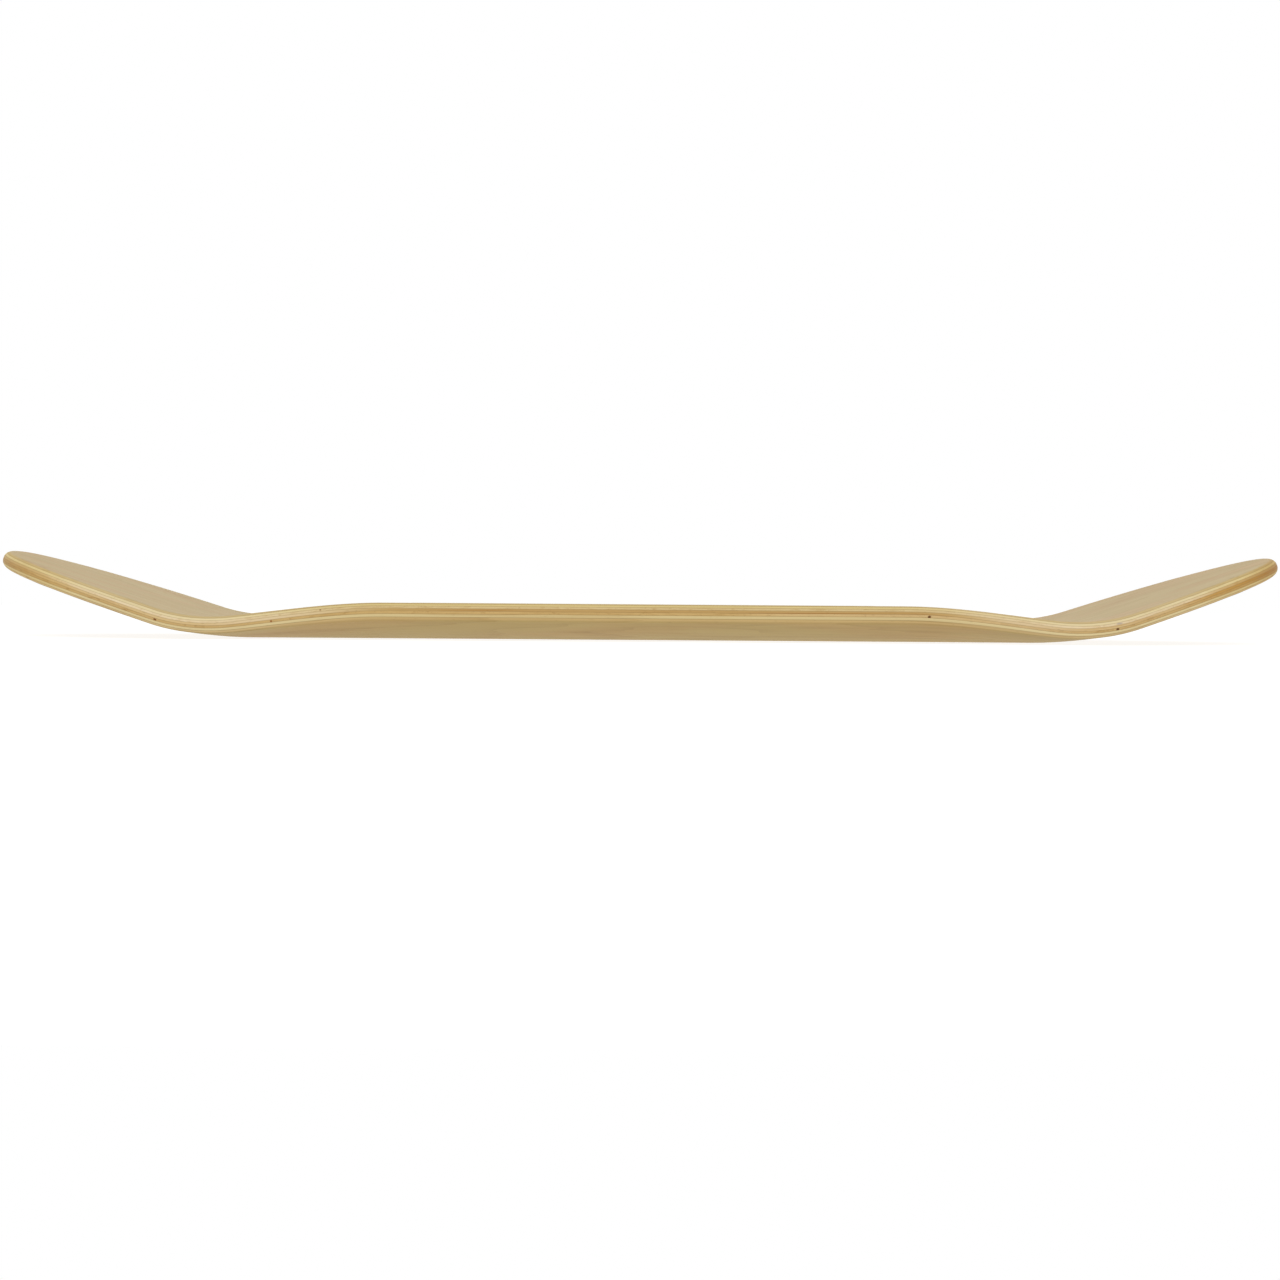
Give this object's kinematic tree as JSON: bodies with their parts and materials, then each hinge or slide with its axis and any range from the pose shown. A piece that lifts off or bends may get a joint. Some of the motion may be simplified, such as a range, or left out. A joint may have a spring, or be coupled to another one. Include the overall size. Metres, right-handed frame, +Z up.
{
  "type": "skateboard deck",
  "caption": "Bare double-kick skateboard deck of pressed maple veneers, with a dished top, rounded edge and drilled truck-bolt holes.",
  "frame": {"origin": "under the middle of the deck, on the flat of its underside where it rests", "axes": "+X along the deck from the nose to the tail, +Y across it, +Z up out of the dished top"},
  "size_m": [0.8007, 0.204, 0.054],
  "materials": {
    "top_face_maple": "sanded maple under thin clear satin lacquer",
    "upper_long_grain_maple": "rounded and sanded veneer edge, satin",
    "upper_cross_grain_maple": "rounded and sanded veneer edge, satin",
    "core_maple": "rounded and sanded veneer edge, satin, darker streaks",
    "lower_cross_grain_maple": "end grain on the sanded veneer edge, satin",
    "lower_long_grain_maple": "rounded and sanded veneer edge, satin",
    "bottom_face_maple": "sanded maple under thin clear satin lacquer"
  },
  "bodies": {
    "root": {"top_face_veneer": "top_face_maple", "upper_long_grain_veneer": "upper_long_grain_maple", "upper_cross_grain_veneer": "upper_cross_grain_maple", "core_veneer": "core_maple", "lower_cross_grain_veneer": "lower_cross_grain_maple", "lower_long_grain_veneer": "lower_long_grain_maple", "bottom_face_veneer": "bottom_face_maple"}
  },
  "joints": []
}
